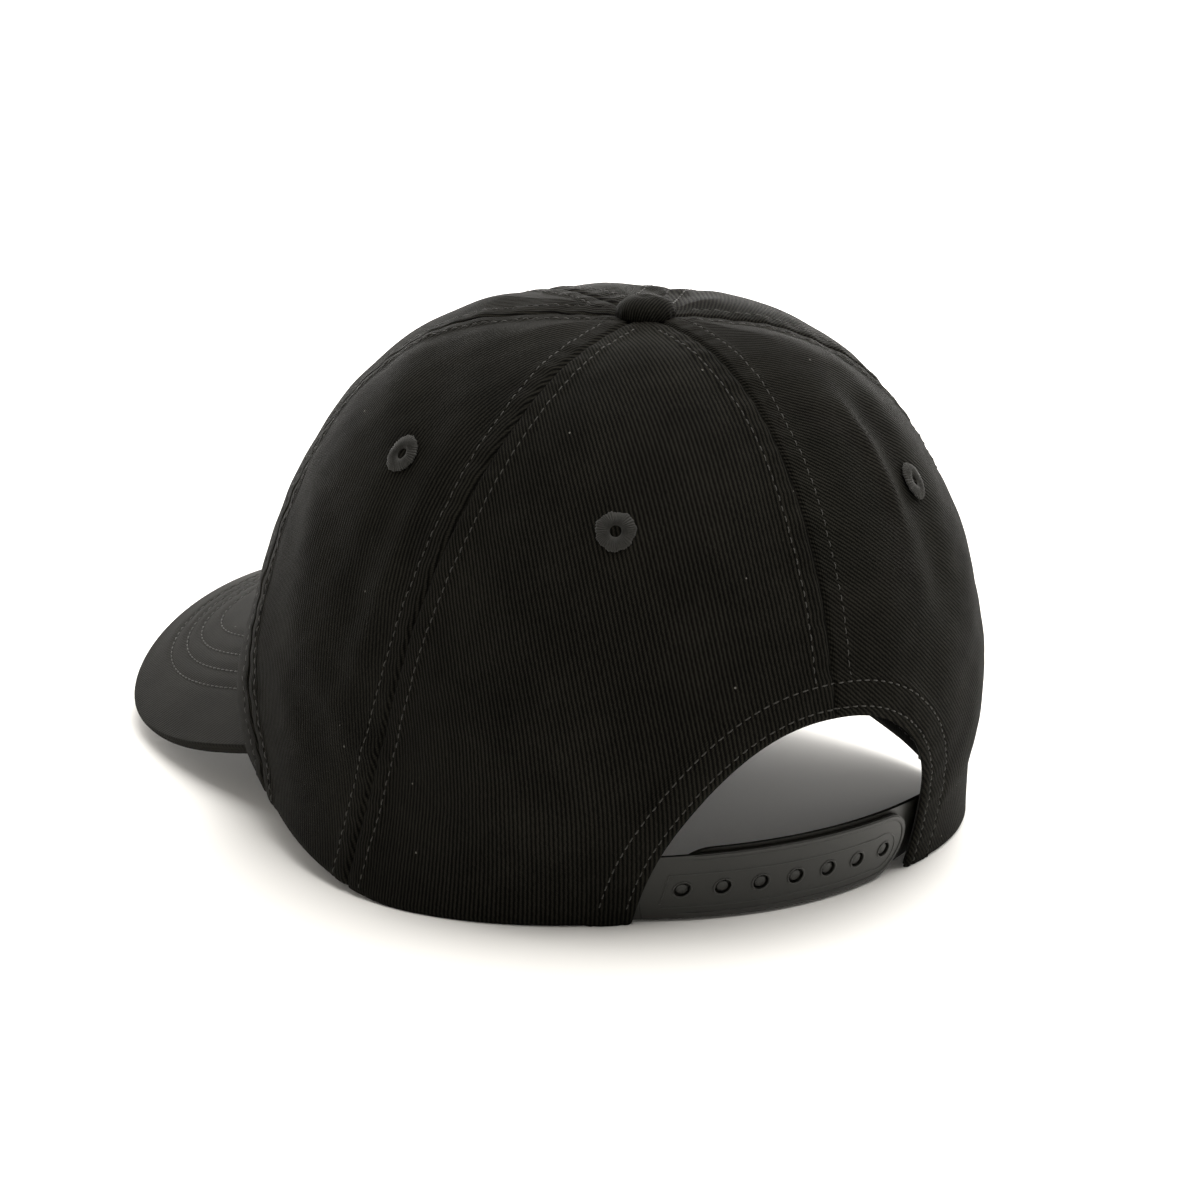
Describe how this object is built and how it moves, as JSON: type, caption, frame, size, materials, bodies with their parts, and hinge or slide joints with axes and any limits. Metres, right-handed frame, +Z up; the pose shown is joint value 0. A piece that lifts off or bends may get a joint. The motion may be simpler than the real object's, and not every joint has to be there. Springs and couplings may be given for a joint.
{
  "type": "baseball cap",
  "caption": "Soft fabric cap with a curved stiff brim, a rounded panelled crown, a top button, stitched vent eyelets and a snap-strap size adjuster across an arched back opening.",
  "frame": {"origin": "centre of the head opening on the table plane, on the cap's left-right mirror plane", "axes": "+Z up through the crown with the cap standing on a table, the brim points along -Y, +X is the wearer's left"},
  "size_m": [0.1914, 0.2826, 0.1496],
  "materials": {
    "crown_twill": "black cotton twill, washed, matt with a faint warm sheen",
    "brim_twill": "black cotton twill stretched over the brim board",
    "buckram": "stiff open-weave buckram",
    "tape": "smooth woven cotton tape",
    "sweatband_cloth": "soft brushed cotton twill",
    "brim_board": "flexible polyethylene board",
    "strap_plastic": "flexible moulded plastic, satin",
    "button_metal": "stamped, plain",
    "eyelet_thread": "dense satin-stitch embroidery thread"
  },
  "bodies": {
    "crown": {"back_left_panel": "crown_twill", "back_right_panel": "crown_twill", "side_left_panel": "crown_twill", "side_right_panel": "crown_twill", "front_left_panel": "crown_twill", "front_right_panel": "crown_twill", "front_left_stiffener": "buckram", "front_right_stiffener": "buckram", "seam_tape_back": "tape", "seam_tape_back_left": "tape", "seam_tape_back_right": "tape", "seam_tape_front_left": "tape", "seam_tape_front_right": "tape", "seam_tape_front": "tape", "opening_facing": "tape", "sweatband": "sweatband_cloth", "brim_top_cover": "brim_twill", "brim_board": "brim_board", "brim_bottom_cover": "brim_twill", "brim_edge_margin": "brim_twill", "outer_strap_tail": "strap_plastic", "inner_strap_tail": "strap_plastic", "button_cover": "crown_twill", "button_core": "button_metal", "button_washer": "button_metal", "eyelet_back_left": "eyelet_thread", "eyelet_back_right": "eyelet_thread", "eyelet_side_left": "eyelet_thread", "eyelet_side_right": "eyelet_thread", "eyelet_front_left": "eyelet_thread", "eyelet_front_right": "eyelet_thread"},
    "outer_strap": {"outer_strap": "strap_plastic"},
    "inner_strap": {"inner_strap": "strap_plastic"}
  },
  "joints": [
    {"name": "outer_strap_release", "type": "hinge", "parent": "crown", "child": "outer_strap", "pos_m": [0.038, 0.07902, 0.0106], "axis": [0, 0, -1], "range_deg": [0, 50], "stiffness_Nm_per_rad": 0.02},
    {"name": "inner_strap_release", "type": "hinge", "parent": "crown", "child": "inner_strap", "pos_m": [-0.041, 0.07637, 0.0112], "axis": [0, 0, -1], "range_deg": [0, 20], "stiffness_Nm_per_rad": 0.02}
  ]
}
